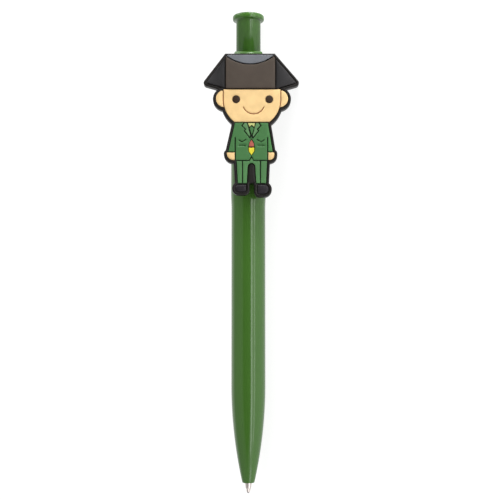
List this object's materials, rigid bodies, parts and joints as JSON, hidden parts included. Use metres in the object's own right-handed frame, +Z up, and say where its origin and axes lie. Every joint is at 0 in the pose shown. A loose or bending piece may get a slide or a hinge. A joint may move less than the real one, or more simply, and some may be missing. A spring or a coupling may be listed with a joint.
{
  "type": "ballpoint pen",
  "caption": "Green push-button ballpoint pen with a flat soft-plastic figure of a uniformed guard in a three-cornered hat on its pocket clip.",
  "frame": {"origin": "on the pen's axis, at the middle of the straight grip stretch of the barrel", "axes": "+X along the pen from the writing tip towards the button, +Z up; the pen lies on its barrel and on one corner of the figure's hat, and the figure faces up and towards -Y"},
  "size_m": [0.1427, 0.023, 0.0218],
  "materials": {
    "pen_green": "polished moulded plastic",
    "natural_plastic": "unpainted moulded plastic",
    "blue_ink": "ink column",
    "tip_metal": "turned nickel silver",
    "ball_metal": "ground ball",
    "spring_steel": "drawn wire",
    "backing_black": "soft poured plastic, satin",
    "lining_grey": "soft poured plastic, satin",
    "crown_brown": "soft poured plastic, satin",
    "brim_slate": "soft poured plastic, satin",
    "skin": "soft poured plastic, satin",
    "eye_brown": "soft poured plastic, satin",
    "smile_brown": "soft poured plastic, satin",
    "cloth_green": "soft poured plastic, satin",
    "lapel_green": "soft poured plastic, satin",
    "shirt_cream": "soft poured plastic, satin",
    "badge_red": "soft poured plastic, satin",
    "badge_yellow": "soft poured plastic, satin",
    "shoe_dark": "soft poured plastic, satin"
  },
  "bodies": {
    "barrel": {"barrel": "pen_green", "clip": "pen_green", "cam_sleeve": "natural_plastic", "return_spring": "spring_steel", "figure_base": "backing_black", "hat_lining": "lining_grey", "hat_crown": "crown_brown", "hat_brim": "brim_slate", "face": "skin", "ears": "skin", "ear_lines": "smile_brown", "eyes": "eye_brown", "smile": "smile_brown", "jacket": "cloth_green", "lapels": "lapel_green", "shirt": "shirt_cream", "neck_tie": "cloth_green", "badge_top": "badge_red", "badge_tip": "badge_yellow", "hands": "skin", "trousers": "cloth_green", "shoes": "shoe_dark"},
    "button": {"push_button": "pen_green"},
    "refill": {"refill_tube": "natural_plastic", "refill_ink": "blue_ink", "tip_holder": "natural_plastic", "refill_tip": "tip_metal", "writing_ball": "ball_metal"},
    "rotor": {"cam_rotor": "natural_plastic"}
  },
  "joints": [
    {"name": "button_slide", "type": "slide", "parent": "barrel", "child": "button", "axis": [1, 0, 0], "range_m": [-0.0012, 0.005]},
    {"name": "refill_slide", "type": "slide", "parent": "barrel", "child": "refill", "axis": [1, 0, 0], "range_m": [-0.0012, 0.005], "deforming": ["return_spring"]},
    {"name": "rotor_turn", "type": "hinge", "parent": "refill", "child": "rotor", "pos_m": [0.045, 0, 0], "axis": [1, 0, 0], "range_deg": [-15, 61]}
  ],
  "couplings": [
    {"joint": "refill_slide", "follows": "button_slide", "ratio": 1},
    {"joint": "rotor_turn", "follows": "button_slide", "rad_per_m": 209.44}
  ]
}
